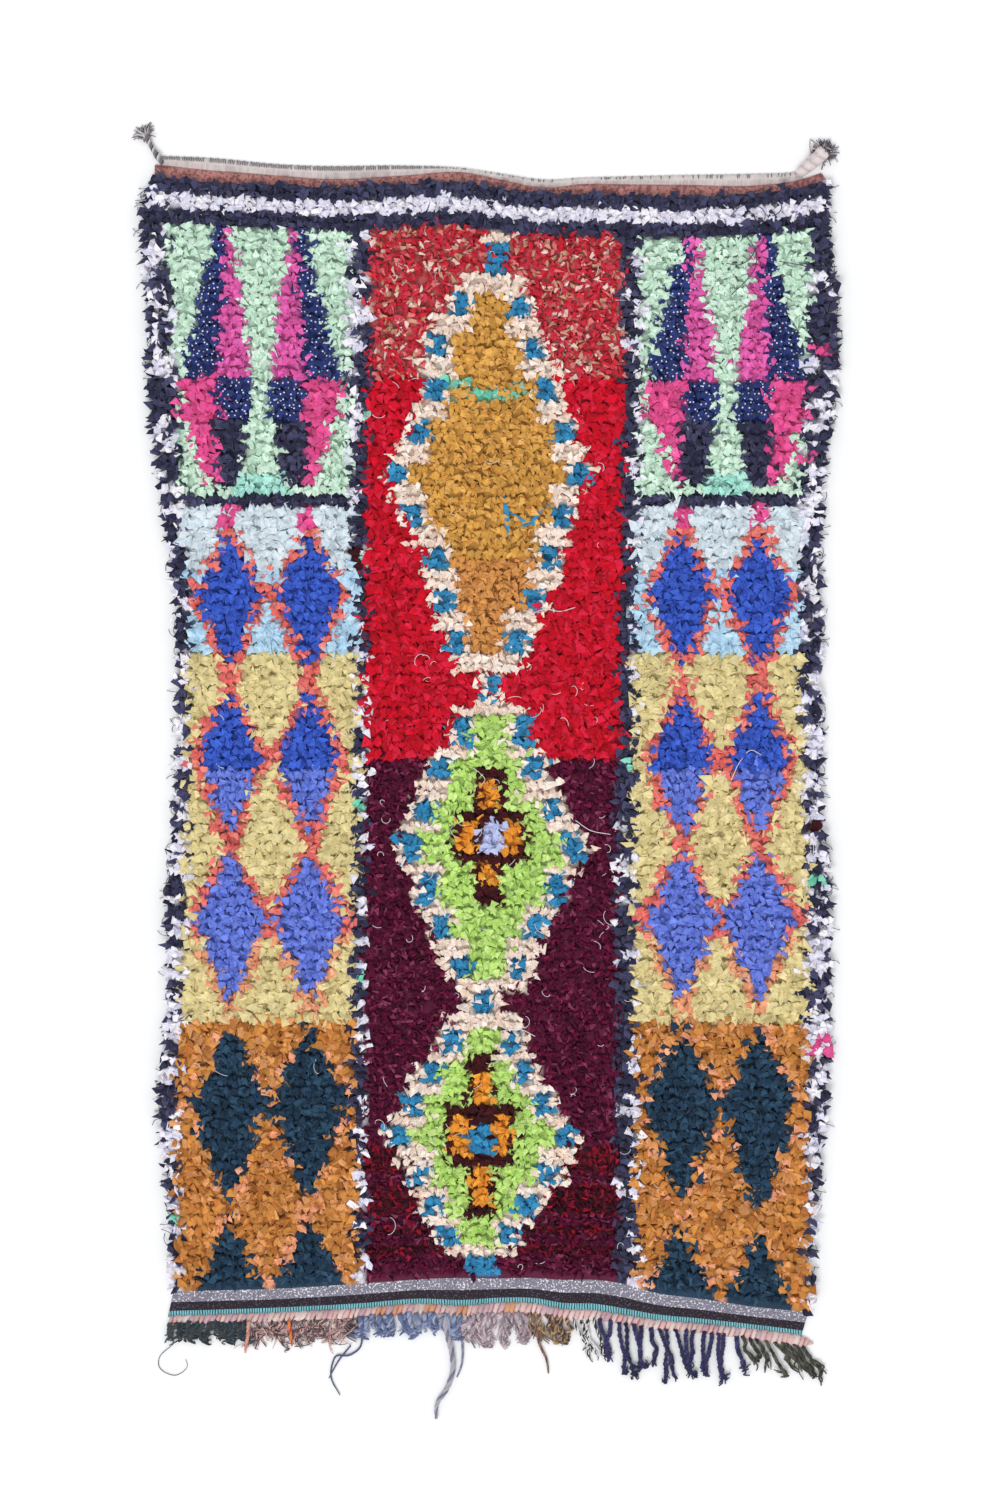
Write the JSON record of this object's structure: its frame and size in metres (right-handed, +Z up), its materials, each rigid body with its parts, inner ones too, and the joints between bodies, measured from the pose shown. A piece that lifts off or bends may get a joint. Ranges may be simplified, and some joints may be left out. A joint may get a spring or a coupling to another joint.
{
  "type": "boucherouite rug",
  "caption": "Shaggy hand-knotted rag rug with stepped medallions and lozenges, flat-woven ends, a chained edge, warp fringe and corner tassels, lying flat.",
  "frame": {"origin": "on the underside, in the middle of the pile, where the rug rests on the floor", "axes": "+Y along the rug towards its flat-woven top end with the corner tassels, +X across it, +Z up out of the pile"},
  "size_m": [1.4378, 2.5974, 0.032],
  "materials": {
    "rag_pile": "torn cotton and wool rags knotted in rows, matt and shaggy, in many colours",
    "flat_weave": "dense flat-woven bands, matt wool with metallic yarn in one of them",
    "cream_warp": "twined cream cotton with grey flecks",
    "pink_braid": "chained pink and cream yarn with red ticks",
    "teal_warp": "dark teal wool warp ends, looped and matt",
    "pink_warp": "pink and black marled yarn, frizzy",
    "slate_warp": "slate blue wool warp ends, twisted loosely",
    "mauve_warp": "mauve grey wool tufts",
    "brown_warp": "brown wool with a yellow end",
    "marl_warp": "black and white marled warp yarn",
    "navy_warp": "navy wool warp hanks, looped",
    "olive_warp": "dark olive wool warp hanks"
  },
  "bodies": {
    "root": {"rug": "rag_pile", "top_heading": "cream_warp", "end_braid": "pink_braid", "fringe_teal": "teal_warp", "fringe_pink": "pink_warp", "fringe_slate": "slate_warp", "fringe_mauve": "mauve_warp", "fringe_brown": "brown_warp", "fringe_marl": "marl_warp", "fringe_navy": "navy_warp", "fringe_olive": "olive_warp", "corner_tassel_left": "marl_warp", "corner_tassel_right": "cream_warp"}
  },
  "joints": []
}
